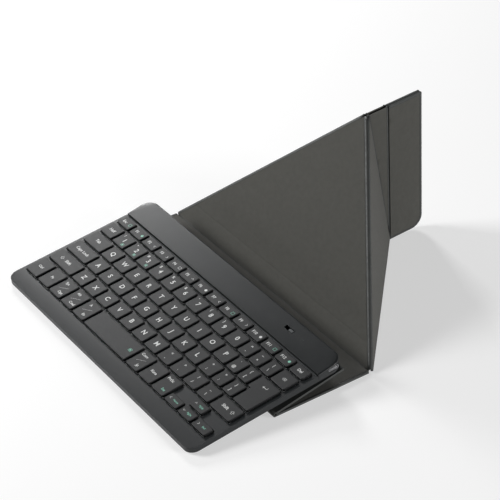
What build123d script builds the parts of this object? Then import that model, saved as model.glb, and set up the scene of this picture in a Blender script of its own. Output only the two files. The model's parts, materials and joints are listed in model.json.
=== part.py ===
"""A tablet keyboard case: a slim wireless keyboard glued to a folding cover.

The cover is one sheet of artificial leather, stiff boards and a microfibre lining. Standing up,
it folds into a strut under the keyboard's rear edge, a panel flat on the table, and a
pyramid-shaped stand that the tablet leans on. Millimetres, +Z up, keys towards -Y.
The origin is on the table, under the middle of the ground panel.
"""

import os
from math import asin, atan2, cos, degrees, hypot, radians, sin, sqrt, tan

from build123d import *

os.makedirs("parts", exist_ok=True)

# ---------------------------------------------------------------- driving dimensions: keyboard
KEYBOARD_WIDTH = 265.0
KEYBOARD_DEPTH = 142.0
KEYBOARD_TILT = 7.0
FRONT_CORNER_R = 8.0
REAR_CORNER_R = 11.0
FOOT_HEIGHT = 0.8

FLOOR_THICKNESS = 0.9
PARTING_Z = 1.8
DECK_Z = 5.0
DECK_SKIN = 1.3
SIDE_WALL = 1.4
FRONT_SLOPE_DEPTH = 9.5
FRONT_SLOPE_DROP = 0.7

BAR_DEPTH = 24.6
BAR_FRONT_Z = 6.4
BAR_REAR_Z = 9.0
BAR_SKIN = 1.2
BAR_GAP = 0.35

# ---------------------------------------------------------------- driving dimensions: keys
KEY_PITCH = 17.84
KEY_ROW_PITCH = 16.71
KEY_GAP = 2.4
KEY_TOP_Z = 6.8
KEY_BOTTOM_Z = 4.6
KEY_WELL_CLEARANCE = 0.55
KEY_CORNER_R = 1.3
KEY_BEVEL = 0.45
KEYS_LEFT = -128.7
KEYS_RIGHT = 128.0
ONE_KEY_X = -102.6
BOTTOM_LETTER_Y = 45.2
FUNCTION_ROW_HEIGHT = 9.5
FUNCTION_ROW_KEYS = 14
BOTTOM_ROW_HEIGHT = 19.4
HALF_KEY_HEIGHT = 8.5
NARROW_KEY = 11.9
RIGHT_BLOCK_SHIFT = 131.9
PLATE_Z = 0.9
PLATE_THICKNESS = 0.3
PLATE_FRONT_Y = 8.0
PLATE_REAR_GAP = 2.0
PLATE_SIDE_GAP = 1.0
MEMBRANE_THICKNESS = 0.2
MEMBRANE_INSET = 0.5

# ---------------------------------------------------------------- driving dimensions: cover
LEATHER = 0.5
BOARD = 1.0
LINING = 0.5
PANEL = LEATHER + BOARD + LINING
EDGE_RIM = 2.0
FOLD_GAP = 1.3
BOARD_FOLD_GAP = 3.0
COVER_HALF_WIDTH = 132.5
GROUND_DEPTH = 90.0
STAND_FOLD_TO_TOP = 162.0
STAND_FOLD_TO_FLAP = 181.5
FLAP_DEPTH = 35.0
FLAP_CORNER_R = 11.0
MOUNT_STRIP_DEPTH = 22.0
MOUNT_STRIP = LEATHER + LINING
CENTRE_CLEARANCE = 0.3
MAGNET_WIDTH = 6.0
MAGNET_LENGTH = 20.0

# ---------------------------------------------------------------- places worked out from these
STAND_FOLD_Y = GROUND_DEPTH / 2
STRUT_FOLD_Y = -GROUND_DEPTH / 2
KEYBOARD_FRONT_Y = -121.0
BAR_START = KEYBOARD_DEPTH - BAR_DEPTH

KEYBOARD_ORIGIN = Vector(0, KEYBOARD_FRONT_Y, FOOT_HEIGHT)
KEYBOARD_NORMAL = Vector(0, -sin(radians(KEYBOARD_TILT)), cos(radians(KEYBOARD_TILT)))
KEYBOARD_PLANE = Plane(origin=KEYBOARD_ORIGIN, x_dir=(1, 0, 0), z_dir=KEYBOARD_NORMAL)

# The strut's lining face passes through its fold at the ground panel's lining, and its leather
# face through the fold under the keyboard.
STRUT_FOLD = Vector(0, STRUT_FOLD_Y, PANEL)
KEYBOARD_FOLD = KEYBOARD_PLANE.from_local_coords(Vector(0, KEYBOARD_DEPTH, -MOUNT_STRIP))
fold_line = KEYBOARD_FOLD - STRUT_FOLD
STRUT_LENGTH = sqrt(fold_line.length**2 - PANEL**2)
STRUT_ANGLE = degrees(atan2(fold_line.Z, fold_line.Y)) - degrees(asin(PANEL / fold_line.length))


def stand_geometry():
    """Rest corners of the folded stand, on its leather face, right half."""
    base = Vector(COVER_HALF_WIDTH, STAND_FOLD_Y, 0)
    reach = sqrt(STAND_FOLD_TO_FLAP**2 - COVER_HALF_WIDTH**2)
    gusset = STAND_FOLD_TO_FLAP - STAND_FOLD_TO_TOP
    slant = hypot(COVER_HALF_WIDTH, gusset)
    along = (reach**2 + STAND_FOLD_TO_TOP**2 - slant**2) / (2 * reach)
    top = Vector(0, STAND_FOLD_Y + along, sqrt(STAND_FOLD_TO_TOP**2 - along**2))
    heel = Vector(0, STAND_FOLD_Y + reach, 0)
    down = (heel - top).normalized()
    backward = Vector(0, -down.Z, down.Y)
    crest = top + down * (gusset**2 / slant) + backward * (gusset * COVER_HALF_WIDTH / slant)
    flap_dir = (crest - top).normalized()
    return base, top, heel, crest, crest + flap_dir * FLAP_DEPTH, heel + flap_dir * FLAP_DEPTH


BASE, TOP, HEEL, CREST, FLAP_TOP, FLAP_HEEL = stand_geometry()
FACET_ANGLE = degrees(atan2(TOP.Z, TOP.Y - STAND_FOLD_Y))
FACET_NORMAL = Vector(0, -sin(radians(FACET_ANGLE)), cos(radians(FACET_ANGLE)))
STAND_FOLD = Vector(0, STAND_FOLD_Y - PANEL * tan(radians(FACET_ANGLE / 2)), PANEL)


def mirrored(point):
    return Vector(-point.X, point.Y, point.Z)


# ---------------------------------------------------------------- helpers for the cover's panels
def moved_in(points, insets):
    """A flat polygon with each edge moved inwards; edge i runs from point i to point i+1."""
    count = len(points)
    area = sum(
        points[i][0] * points[(i + 1) % count][1] - points[(i + 1) % count][0] * points[i][1]
        for i in range(count)
    )
    turn = 1 if area > 0 else -1
    lines = []
    for i, inset in enumerate(insets):
        (x0, y0), (x1, y1) = points[i], points[(i + 1) % count]
        length = hypot(x1 - x0, y1 - y0)
        nx, ny = -(y1 - y0) / length * turn, (x1 - x0) / length * turn
        lines.append((x0 + nx * inset, y0 + ny * inset, x1 - x0, y1 - y0))
    corners = []
    for i in range(count):
        ax, ay, adx, ady = lines[i - 1]
        bx, by, bdx, bdy = lines[i]
        t = ((bx - ax) * bdy - (by - ay) * bdx) / (adx * bdy - ady * bdx)
        corners.append((ax + adx * t, ay + ady * t))
    return corners


def panel_layers(name, plane, points, folds, rounded=(), magnets=()):
    """Leather tray, board and lining of one stiff panel.

    The plane is the leather's outer face, with its normal towards the lining. folds says which
    edges are folds, and rounded names the corners, by index, that have the flap's radius.
    magnets lists the (x, y) places of bar magnets that sit in slots through the board.
    """

    def outline(fold_gap, edge_gap, radius):
        corners = moved_in(points, [fold_gap if fold else edge_gap for fold in folds])
        with BuildLine() as line:
            Polyline(*corners, close=True)
        face = make_face(line.edges())
        if rounded:
            near = [corners[i] for i in rounded]
            chosen = [
                v for v in face.vertices() if min(hypot(v.X - x, v.Y - y) for x, y in near) < 0.01
            ]
            face = fillet(chosen, radius)
        return face

    full = outline(FOLD_GAP, 0, FLAP_CORNER_R)
    pocket = outline(-FOLD_GAP, EDGE_RIM, FLAP_CORNER_R - EDGE_RIM)
    inner = outline(BOARD_FOLD_GAP, EDGE_RIM + 0.15, FLAP_CORNER_R - EDGE_RIM)
    cloth = outline(FOLD_GAP + 0.1, EDGE_RIM + 0.15, FLAP_CORNER_R - EDGE_RIM)

    with BuildPart() as leather:
        with BuildSketch(plane):
            add(full)
        extrude(amount=PANEL)
        with BuildSketch(plane.offset(LEATHER)):
            add(pocket)
        extrude(amount=PANEL, mode=Mode.SUBTRACT)
    with BuildPart() as board:
        with BuildSketch(plane.offset(LEATHER)):
            add(inner)
            if magnets:
                with Locations(*magnets):
                    Rectangle(MAGNET_WIDTH + 0.2, MAGNET_LENGTH + 0.2, mode=Mode.SUBTRACT)
        extrude(amount=BOARD)
    if magnets:
        with BuildPart() as bars:
            with BuildSketch(plane.offset(LEATHER)):
                with Locations(*magnets):
                    Rectangle(MAGNET_WIDTH, MAGNET_LENGTH)
            extrude(amount=BOARD)
        bars.part.label = f"{name}_magnets"
        export_step(bars.part, f"parts/{name}_magnets.step")
    with BuildPart() as lining:
        with BuildSketch(plane.offset(LEATHER + BOARD)):
            add(cloth)
        extrude(amount=LINING)
    for layer, part in (("leather", leather), ("board", board), ("lining", lining)):
        part.part.label = f"{name}_{layer}"
        export_step(part.part, f"parts/{name}_{layer}.step")


def in_plane(plane, *points):
    local = [plane.to_local_coords(point) for point in points]
    return [(point.X, point.Y) for point in local]


# ---------------------------------------------------------------- cover: ground panel and strut
ground_corners = [
    (-COVER_HALF_WIDTH, STRUT_FOLD_Y),
    (COVER_HALF_WIDTH, STRUT_FOLD_Y),
    (COVER_HALF_WIDTH, STAND_FOLD_Y),
    (-COVER_HALF_WIDTH, STAND_FOLD_Y),
]
panel_layers("ground", Plane.XY, ground_corners, (True, False, True, False))

strut_direction = Vector(0, cos(radians(STRUT_ANGLE)), sin(radians(STRUT_ANGLE)))
strut_up = Vector(0, -sin(radians(STRUT_ANGLE)), cos(radians(STRUT_ANGLE)))
strut_plane = Plane(
    origin=STRUT_FOLD + strut_up * PANEL, x_dir=(-1, 0, 0), z_dir=strut_up * -1
)
strut_corners = [
    (-COVER_HALF_WIDTH, 0),
    (COVER_HALF_WIDTH, 0),
    (COVER_HALF_WIDTH, STRUT_LENGTH),
    (-COVER_HALF_WIDTH, STRUT_LENGTH),
]
panel_layers("strut", strut_plane, strut_corners, (True, False, True, False))

with BuildPart() as mount_strip:
    with BuildSketch(KEYBOARD_PLANE.offset(-MOUNT_STRIP)):
        with Locations((0, KEYBOARD_DEPTH - FOLD_GAP - MOUNT_STRIP_DEPTH / 2)):
            Rectangle(2 * COVER_HALF_WIDTH - 2 * REAR_CORNER_R, MOUNT_STRIP_DEPTH)
    extrude(amount=MOUNT_STRIP)
mount_strip.part.label = "mount_strip"
export_step(mount_strip.part, "parts/mount_strip.step")

# ---------------------------------------------------------------- cover: stand
facet_plane = Plane(origin=(0, STAND_FOLD_Y, 0), x_dir=(1, 0, 0), z_dir=FACET_NORMAL)
facet_corners = in_plane(facet_plane, mirrored(BASE), BASE, TOP)
panel_layers("facet", facet_plane, facet_corners, (True, True, True))

for side, sign in (("right", 1), ("left", -1)):
    # Each wall stands on its own side edge and its lining faces outwards.
    base, top, heel = (Vector(p.X * sign, p.Y, p.Z) for p in (BASE, TOP, HEEL))
    wall_normal = (heel - base).cross(top - base).normalized()
    if wall_normal.X * sign < 0:
        wall_normal = wall_normal * -1
    wall_plane = Plane(origin=base, x_dir=(heel - base).normalized(), z_dir=wall_normal)
    wall_corners = in_plane(wall_plane, base, heel, top)
    panel_layers(f"{side}_wall", wall_plane, wall_corners, (False, True, True))

    # The gusset and the flap half stand upright beside the centre plane.
    flap_plane = Plane(
        origin=(sign * CENTRE_CLEARANCE, 0, 0), x_dir=(0, sign, 0), z_dir=(sign, 0, 0)
    )
    gusset_corners = moved_in(in_plane(flap_plane, TOP, CREST, HEEL), (0, FOLD_GAP, FOLD_GAP))
    with BuildPart() as gusset:
        with BuildSketch(flap_plane.offset(PANEL - MOUNT_STRIP)):
            with BuildLine():
                Polyline(*gusset_corners, close=True)
            make_face()
        extrude(amount=MOUNT_STRIP)
    gusset.part.label = f"{side}_gusset"
    export_step(gusset.part, f"parts/{side}_gusset.step")

    flap_corners = in_plane(flap_plane, HEEL, CREST, FLAP_TOP, FLAP_HEEL)
    middle_y = sum(point[0] for point in flap_corners) / 4
    middle_z = sum(point[1] for point in flap_corners) / 4
    magnets = [(middle_y, middle_z - FLAP_DEPTH), (middle_y, middle_z + FLAP_DEPTH)]
    flap_folds = (True, False, False, False)
    panel_layers(f"{side}_flap", flap_plane, flap_corners, flap_folds, (3,), magnets)

# ---------------------------------------------------------------- keyboard: outline and shells
def body_outline(inset):
    """The keyboard's rounded outline in its own plane, moved in by inset."""
    width = KEYBOARD_WIDTH - 2 * inset
    with BuildSketch() as outline:
        with Locations((0, KEYBOARD_DEPTH / 2)):
            Rectangle(width, KEYBOARD_DEPTH - 2 * inset)
        front = outline.vertices().group_by(Axis.Y)[0]
        fillet(front, FRONT_CORNER_R - inset)
        rear = outline.vertices().group_by(Axis.Y)[-1]
        fillet(rear, REAR_CORNER_R - inset)
    return outline.sketch


def key_rows():
    """Every key as (node, centre x, centre y, width, height)."""
    cap = KEY_PITCH - KEY_GAP
    cap_height = KEY_ROW_PITCH - KEY_GAP
    row_y = [BOTTOM_LETTER_Y + i * KEY_ROW_PITCH for i in range(4)]
    keys = []

    def between(node, left, right, y, height):
        keys.append((node, (left + right) / 2, y, right - left, height))

    # Function row: fourteen low keys of one size.
    function_pitch = (KEYS_RIGHT - KEYS_LEFT + KEY_GAP) / FUNCTION_ROW_KEYS
    function_y = row_y[3] + cap_height / 2 + KEY_GAP + FUNCTION_ROW_HEIGHT / 2
    for i in range(FUNCTION_ROW_KEYS):
        x = KEYS_LEFT + function_pitch * i + (function_pitch - KEY_GAP) / 2
        keys.append(
            ("function_keys", x, function_y, function_pitch - KEY_GAP, FUNCTION_ROW_HEIGHT)
        )

    # Number row.
    between("half_full_key", KEYS_LEFT, ONE_KEY_X - cap / 2 - KEY_GAP, row_y[3], cap_height)
    for i in range(10):
        keys.append(("number_keys", ONE_KEY_X + KEY_PITCH * i, row_y[3], cap, cap_height))
    left = ONE_KEY_X + KEY_PITCH * 9 + cap / 2 + KEY_GAP
    for _ in range(3):
        between("number_keys", left, left + NARROW_KEY, row_y[3], cap_height)
        left += NARROW_KEY + KEY_GAP
    between("backspace_key", left, KEYS_RIGHT, row_y[3], cap_height)

    # Upper, home and lower letter rows, each a quarter pitch further right.
    letters = (
        ("upper_letter_keys", "tab_key", 2, 0.4955, 10, 2),
        ("home_letter_keys", "caps_key", 1, 0.7263, 10, 2),
        ("lower_letter_keys", "left_shift_key", 0, 0.9718, 11, 0),
    )
    narrow_ends = []
    for node, first, row, shift, standard, narrow in letters:
        start = ONE_KEY_X + KEY_PITCH * shift
        between(first, KEYS_LEFT, start - cap / 2 - KEY_GAP, row_y[row], cap_height)
        for i in range(standard):
            keys.append((node, start + KEY_PITCH * i, row_y[row], cap, cap_height))
        left = start + KEY_PITCH * (standard - 1) + cap / 2 + KEY_GAP
        for _ in range(narrow):
            between(node, left, left + NARROW_KEY, row_y[row], cap_height)
            left += NARROW_KEY + KEY_GAP
        narrow_ends.append(left)
    between("right_shift_key", narrow_ends[2], KEYS_RIGHT, row_y[0], cap_height)

    # Bottom row: tall keys, the space bar, and the arrow keys.
    bottom_y = row_y[0] - cap_height / 2 - KEY_GAP - BOTTOM_ROW_HEIGHT / 2
    between(
        "bottom_row_keys", KEYS_LEFT, ONE_KEY_X - cap / 2 - KEY_GAP, bottom_y, BOTTOM_ROW_HEIGHT
    )
    for i in range(4):
        x = ONE_KEY_X + KEY_PITCH * i
        keys.append(("bottom_row_keys", x, bottom_y, cap, BOTTOM_ROW_HEIGHT))
    right_block = ONE_KEY_X + RIGHT_BLOCK_SHIFT
    for i in range(3):
        x = right_block + KEY_PITCH * i
        keys.append(("bottom_row_keys", x, bottom_y, cap, BOTTOM_ROW_HEIGHT))
    space_left = ONE_KEY_X + KEY_PITCH * 3 + cap / 2 + KEY_GAP
    between(
        "space_key", space_left, right_block - cap / 2 - KEY_GAP, bottom_y, BOTTOM_ROW_HEIGHT
    )
    low_y = bottom_y - BOTTOM_ROW_HEIGHT / 2 + HALF_KEY_HEIGHT / 2
    high_y = bottom_y + BOTTOM_ROW_HEIGHT / 2 - HALF_KEY_HEIGHT / 2
    arrow_x = right_block + KEY_PITCH * 3
    keys.append(("left_arrow_key", arrow_x, low_y, cap, HALF_KEY_HEIGHT))
    keys.append(("down_arrow_key", arrow_x + KEY_PITCH, low_y, cap, HALF_KEY_HEIGHT))
    keys.append(("up_arrow_key", arrow_x + KEY_PITCH, high_y, cap, HALF_KEY_HEIGHT))
    between(
        "right_arrow_key",
        arrow_x + KEY_PITCH * 1.5 + KEY_GAP / 2,
        KEYS_RIGHT,
        low_y,
        HALF_KEY_HEIGHT,
    )
    return keys, narrow_ends, row_y, cap_height


KEYS, ROW_ENDS, ROW_Y, CAP_HEIGHT = key_rows()
ENTER_UPPER_LEFT, ENTER_LOWER_LEFT = ROW_ENDS[0], ROW_ENDS[1]
ENTER_TOP = ROW_Y[2] + CAP_HEIGHT / 2
ENTER_NOTCH = ROW_Y[2] - CAP_HEIGHT / 2
ENTER_BOTTOM = ROW_Y[1] - CAP_HEIGHT / 2


def enter_outline(grow):
    """The L-shaped enter key, which spans two rows."""
    corners = [
        (ENTER_UPPER_LEFT, ENTER_TOP),
        (ENTER_UPPER_LEFT, ENTER_NOTCH),
        (ENTER_LOWER_LEFT, ENTER_NOTCH),
        (ENTER_LOWER_LEFT, ENTER_BOTTOM),
        (KEYS_RIGHT, ENTER_BOTTOM),
        (KEYS_RIGHT, ENTER_TOP),
    ]
    return moved_in(corners, [-grow] * 6)


FRONT_SCREWS = [(x, 13.0) for x in (-118, 118)]
REAR_SCREWS = [(x, BAR_START + 21.0) for x in (-112, -40, 20, 108)]
SCREW_PLACES = REAR_SCREWS + FRONT_SCREWS
BOSS_R = 2.0
BOSS_CLEARANCE = BOSS_R + 0.5
SCREW_SHANK_R = 0.8
SCREW_HEAD_R = 1.5
SCREW_HEAD = 0.6
FRONT_SHANK = 2.2
REAR_SHANK = 3.6

PORT_Y = BAR_START + 14.4
PORT_WIDTH = 9.0
PORT_HEIGHT = 3.2
PORT_DEPTH = 7.4
PORT_Z = 4.2
SWITCH_X = 78.0
SWITCH_Y = BAR_START + 13.6
SWITCH_SLOT = (10.4, 3.4)
SWITCH_KNOB = (4.6, 2.4)
SWITCH_TRAVEL = 4.0
LED_X = 94.5
LED_SIZE = (3.0, 0.9)

CIRCUIT_BOARD_CENTRE = (78.4, BAR_START + 11.9)
CIRCUIT_BOARD_SIZE = (100.8, 14.0)
CIRCUIT_BOARD_Z = 2.0
CIRCUIT_BOARD_THICKNESS = 0.6
CHIP_Y = BAR_START + 10.5
CHIP_HEIGHT = 1.0
CHIP_TOP_Z = CIRCUIT_BOARD_Z + CIRCUIT_BOARD_THICKNESS + CHIP_HEIGHT
BATTERY_CENTRE = (-78.0, BAR_START + 9.0)
BATTERY_SIZE = (64.0, 13.0, 3.0)
BATTERY_Z = 2.0
FOOT_PLACES = [(x, 4.6) for x in (-104, 104)]
FOOT_SIZE = (24.0, 4.0)

bar_slope = degrees(atan2(BAR_REAR_Z - BAR_FRONT_Z, BAR_DEPTH))


def bar_top(y):
    """Height of the bar's sloping top face at a depth y from the keyboard's front edge."""
    return BAR_FRONT_Z + (y - BAR_START) * tan(radians(bar_slope))


with BuildPart() as bottom_housing:
    with BuildSketch(KEYBOARD_PLANE):
        add(body_outline(0))
    extrude(amount=PARTING_Z)
    with BuildSketch(KEYBOARD_PLANE.offset(FLOOR_THICKNESS)):
        add(body_outline(SIDE_WALL))
    extrude(amount=PARTING_Z, mode=Mode.SUBTRACT)
    with BuildSketch(KEYBOARD_PLANE):
        with Locations(*SCREW_PLACES):
            Circle(SCREW_HEAD_R + 0.1)
    extrude(amount=SCREW_HEAD, mode=Mode.SUBTRACT)
    with BuildSketch(KEYBOARD_PLANE):
        with Locations(*SCREW_PLACES):
            Circle(SCREW_SHANK_R + 0.1)
    extrude(amount=PARTING_Z, mode=Mode.SUBTRACT)
bottom_housing.part.label = "bottom_housing"
export_step(bottom_housing.part, "parts/bottom_housing.step")

with BuildPart() as top_housing:
    with BuildSketch(KEYBOARD_PLANE.offset(PARTING_Z)):
        add(body_outline(0))
        with Locations((0, BAR_START - BAR_GAP / 2 + 50)):
            Rectangle(KEYBOARD_WIDTH + 10, 100, mode=Mode.SUBTRACT)
    extrude(amount=DECK_Z - PARTING_Z)
    with BuildSketch(KEYBOARD_PLANE.offset(PARTING_Z)):
        add(body_outline(SIDE_WALL))
        with Locations((0, BAR_START - BAR_GAP / 2 - SIDE_WALL + 50)):
            Rectangle(KEYBOARD_WIDTH + 10, 100, mode=Mode.SUBTRACT)
    extrude(amount=DECK_Z - PARTING_Z - DECK_SKIN, mode=Mode.SUBTRACT)
    with BuildSketch(KEYBOARD_PLANE.offset(FLOOR_THICKNESS)):
        with Locations(*FRONT_SCREWS):
            Circle(BOSS_R)
            Circle(SCREW_SHANK_R + 0.05, mode=Mode.SUBTRACT)
    extrude(amount=DECK_Z - DECK_SKIN - FLOOR_THICKNESS)
    with BuildSketch(
        Plane(
            origin=KEYBOARD_PLANE.from_local_coords(Vector(-KEYBOARD_WIDTH / 2 - 1, 0, 0)),
            x_dir=KEYBOARD_PLANE.y_dir,
            z_dir=(1, 0, 0),
        )
    ):
        with BuildLine():
            Polyline(
                (-1, DECK_Z + 2),
                (-1, DECK_Z - FRONT_SLOPE_DROP * (1 + 1 / FRONT_SLOPE_DEPTH)),
                (FRONT_SLOPE_DEPTH, DECK_Z),
                (FRONT_SLOPE_DEPTH, DECK_Z + 2),
                close=True,
            )
        make_face()
    extrude(amount=KEYBOARD_WIDTH + 2, mode=Mode.SUBTRACT)
    with BuildSketch(KEYBOARD_PLANE.offset(DECK_Z - DECK_SKIN - 0.5)):
        for _, x, y, width, height in KEYS:
            with Locations((x, y)):
                RectangleRounded(
                    width + 2 * KEY_WELL_CLEARANCE, height + 2 * KEY_WELL_CLEARANCE, KEY_CORNER_R
                )
        with BuildLine():
            Polyline(*enter_outline(KEY_WELL_CLEARANCE), close=True)
        make_face()
    extrude(amount=DECK_SKIN + 1.5, mode=Mode.SUBTRACT)
top_housing.part.label = "top_housing"
export_step(top_housing.part, "parts/top_housing.step")


def bar_profile(skin):
    """Side outline of the bar, moved in by its wall."""
    low = PARTING_Z
    front = BAR_START + BAR_GAP / 2 + skin
    rear = KEYBOARD_DEPTH - skin
    drop = skin / cos(radians(bar_slope))
    return [
        (front, low),
        (rear, low),
        (rear, bar_top(rear) - drop if skin else BAR_REAR_Z),
        (front, bar_top(front) - drop if skin else BAR_FRONT_Z),
    ]


def side_plane(x):
    """A plane across the keyboard at x, drawn as (depth, height), facing +X."""
    origin = KEYBOARD_PLANE.from_local_coords(Vector(x, 0, 0))
    return Plane(origin=origin, x_dir=KEYBOARD_PLANE.y_dir, z_dir=(1, 0, 0))


with BuildPart() as bar_cavity:
    with BuildSketch(side_plane(-KEYBOARD_WIDTH / 2 + SIDE_WALL)):
        with BuildLine():
            Polyline(*bar_profile(BAR_SKIN), close=True)
        make_face()
    extrude(amount=KEYBOARD_WIDTH - 2 * SIDE_WALL)
    cavity_uprights = bar_cavity.edges().filter_by(Axis(KEYBOARD_ORIGIN, KEYBOARD_NORMAL))
    fillet(cavity_uprights.group_by(Axis.Y)[-1], REAR_CORNER_R - BAR_SKIN)

with BuildPart() as bar_cover:
    with BuildSketch(side_plane(-KEYBOARD_WIDTH / 2)):
        with BuildLine():
            Polyline(*bar_profile(0), close=True)
        make_face()
    extrude(amount=KEYBOARD_WIDTH)
    upright = bar_cover.edges().filter_by(Axis(KEYBOARD_ORIGIN, KEYBOARD_NORMAL))
    rear_corners = upright.group_by(Axis.Y)[-1]
    fillet(rear_corners, REAR_CORNER_R)
    rear_top = bar_cover.faces().sort_by(Axis.Z)[-1].edges().group_by(Axis.Y)[-1]
    fillet(rear_top, 1.6)
    add(bar_cavity.part, mode=Mode.SUBTRACT)
    with BuildSketch(KEYBOARD_PLANE.offset(FLOOR_THICKNESS)):
        with Locations(*REAR_SCREWS):
            Circle(BOSS_R)
    extrude(until=Until.NEXT)
    with BuildSketch(KEYBOARD_PLANE.offset(FLOOR_THICKNESS)):
        with Locations(*REAR_SCREWS):
            Circle(SCREW_SHANK_R + 0.05)
    extrude(amount=REAR_SHANK + 0.4, mode=Mode.SUBTRACT)
    with BuildSketch(side_plane(KEYBOARD_WIDTH / 2 - PORT_DEPTH - 3.2)):
        with Locations((PORT_Y, PORT_Z)):
            RectangleRounded(PORT_WIDTH + 0.6, PORT_HEIGHT + 0.6, 1.6)
    extrude(amount=PORT_DEPTH + 5, mode=Mode.SUBTRACT)
    with BuildSketch(KEYBOARD_PLANE.offset(bar_top(SWITCH_Y) - BAR_SKIN - 1.0)):
        with Locations((SWITCH_X, SWITCH_Y)):
            RectangleRounded(*SWITCH_SLOT, 0.8)
        with Locations((LED_X, SWITCH_Y)):
            RectangleRounded(LED_SIZE[0] + 0.1, LED_SIZE[1] + 0.1, 0.3)
    extrude(amount=6, mode=Mode.SUBTRACT)
bar_cover.part.label = "bar_cover"
export_step(bar_cover.part, "parts/bar_cover.step")

# ---------------------------------------------------------------- keyboard: inside
plate_y = (PLATE_FRONT_Y + BAR_START - PLATE_REAR_GAP) / 2
plate_depth = BAR_START - PLATE_REAR_GAP - PLATE_FRONT_Y
plate_width = KEYBOARD_WIDTH - 2 * SIDE_WALL - 2 * PLATE_SIDE_GAP

with BuildPart() as key_plate:
    with BuildSketch(KEYBOARD_PLANE.offset(PLATE_Z)):
        with Locations((0, plate_y)):
            Rectangle(plate_width, plate_depth)
        with Locations(*FRONT_SCREWS):
            Circle(BOSS_CLEARANCE, mode=Mode.SUBTRACT)
    extrude(amount=PLATE_THICKNESS)
key_plate.part.label = "key_plate"
export_step(key_plate.part, "parts/key_plate.step")

membrane_z = PLATE_Z + PLATE_THICKNESS
with BuildPart() as membrane:
    with BuildSketch(KEYBOARD_PLANE.offset(membrane_z)):
        with Locations((0, plate_y)):
            Rectangle(plate_width - 2 * MEMBRANE_INSET, plate_depth - 2 * MEMBRANE_INSET)
        with Locations(*FRONT_SCREWS):
            Circle(BOSS_CLEARANCE, mode=Mode.SUBTRACT)
    extrude(amount=MEMBRANE_THICKNESS)
membrane.part.label = "membrane"
export_step(membrane.part, "parts/membrane.step")

switch_z = membrane_z + MEMBRANE_THICKNESS
switch_places = [(x, y, height) for _, x, y, _, height in KEYS]
enter_x = (ENTER_LOWER_LEFT + KEYS_RIGHT) / 2
switch_places.append((enter_x, (ENTER_TOP + ENTER_BOTTOM) / 2, CAP_HEIGHT))


def dome_radius(height):
    return 2.4 if height > 12 else 1.6


with BuildPart() as rubber_domes:
    for lower, upper, share in ((0, 0.5, 1.0), (0.5, KEY_BOTTOM_Z - switch_z, 0.62)):
        with BuildSketch(KEYBOARD_PLANE.offset(switch_z + lower)):
            for x, y, height in switch_places:
                with Locations((x, y)):
                    Circle(dome_radius(height) * share)
        extrude(amount=upper - lower)
rubber_domes.part.label = "rubber_domes"
export_step(rubber_domes.part, "parts/rubber_domes.step")

LINK_BAR = 0.8
LINK_THICKNESS = 0.5


def link_frame(width, depth):
    """One flat rectangular scissor link, made at the origin, outside any part."""
    with BuildPart() as frame:
        with BuildSketch():
            Rectangle(width, depth)
            Rectangle(width - 2 * LINK_BAR, depth - 2 * LINK_BAR, mode=Mode.SUBTRACT)
        extrude(amount=LINK_THICKNESS / 2, both=True)
    return frame.part


link_height = (KEY_BOTTOM_Z + switch_z) / 2
links = []
for x, y, height in switch_places:
    depth = 9.0 if height > 12 else 6.4
    lean = degrees(asin((KEY_BOTTOM_Z - switch_z - LINK_THICKNESS - 0.3) / depth))
    for width, angle in ((11.0, lean), (11.0 - 2 * LINK_BAR - 0.3, -lean)):
        placed = KEYBOARD_PLANE.location * Pos(x, y, link_height) * Rot(angle, 0, 0)
        links.append(placed * link_frame(width, depth))
scissor_links = Compound(children=links)
scissor_links.label = "scissor_links"
export_step(scissor_links, "parts/scissor_links.step")

with BuildPart() as circuit_board:
    with BuildSketch(KEYBOARD_PLANE.offset(CIRCUIT_BOARD_Z)):
        with Locations(CIRCUIT_BOARD_CENTRE):
            Rectangle(*CIRCUIT_BOARD_SIZE)
    extrude(amount=CIRCUIT_BOARD_THICKNESS)
    with BuildSketch(KEYBOARD_PLANE.offset(CHIP_TOP_Z - CHIP_HEIGHT)):
        # The processor, its crystal, the switch's body and the lamp's body.
        with Locations((48.0, CHIP_Y)):
            Rectangle(7.0, 7.0)
        with Locations((60.0, CHIP_Y)):
            Rectangle(4.0, 3.0)
        with Locations((SWITCH_X, SWITCH_Y)):
            Rectangle(9.0, 3.0)
        with Locations((LED_X, SWITCH_Y)):
            Rectangle(3.0, 1.4)
    extrude(amount=CHIP_HEIGHT)
circuit_board.part.label = "circuit_board"
export_step(circuit_board.part, "parts/circuit_board.step")

with BuildPart() as battery_cell:
    with BuildSketch(KEYBOARD_PLANE.offset(BATTERY_Z)):
        with Locations(BATTERY_CENTRE):
            RectangleRounded(BATTERY_SIZE[0], BATTERY_SIZE[1], 1.0)
    extrude(amount=BATTERY_SIZE[2])
    fillet(battery_cell.edges().filter_by(Axis.X), 0.8)
battery_cell.part.label = "battery_cell"
export_step(battery_cell.part, "parts/battery_cell.step")

port_x = KEYBOARD_WIDTH / 2 - PORT_DEPTH - 0.4
with BuildPart() as usb_port:
    with BuildSketch(side_plane(port_x)):
        with Locations((PORT_Y, PORT_Z)):
            RectangleRounded(PORT_WIDTH, PORT_HEIGHT, 1.4)
    extrude(amount=PORT_DEPTH)
    with BuildSketch(side_plane(port_x + 1.0)):
        with Locations((PORT_Y, PORT_Z)):
            RectangleRounded(PORT_WIDTH - 0.6, PORT_HEIGHT - 0.6, 1.1)
            RectangleRounded(6.7, 0.7, 0.2, mode=Mode.SUBTRACT)
    extrude(amount=PORT_DEPTH, mode=Mode.SUBTRACT)
usb_port.part.label = "usb_port"
export_step(usb_port.part, "parts/usb_port.step")

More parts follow.
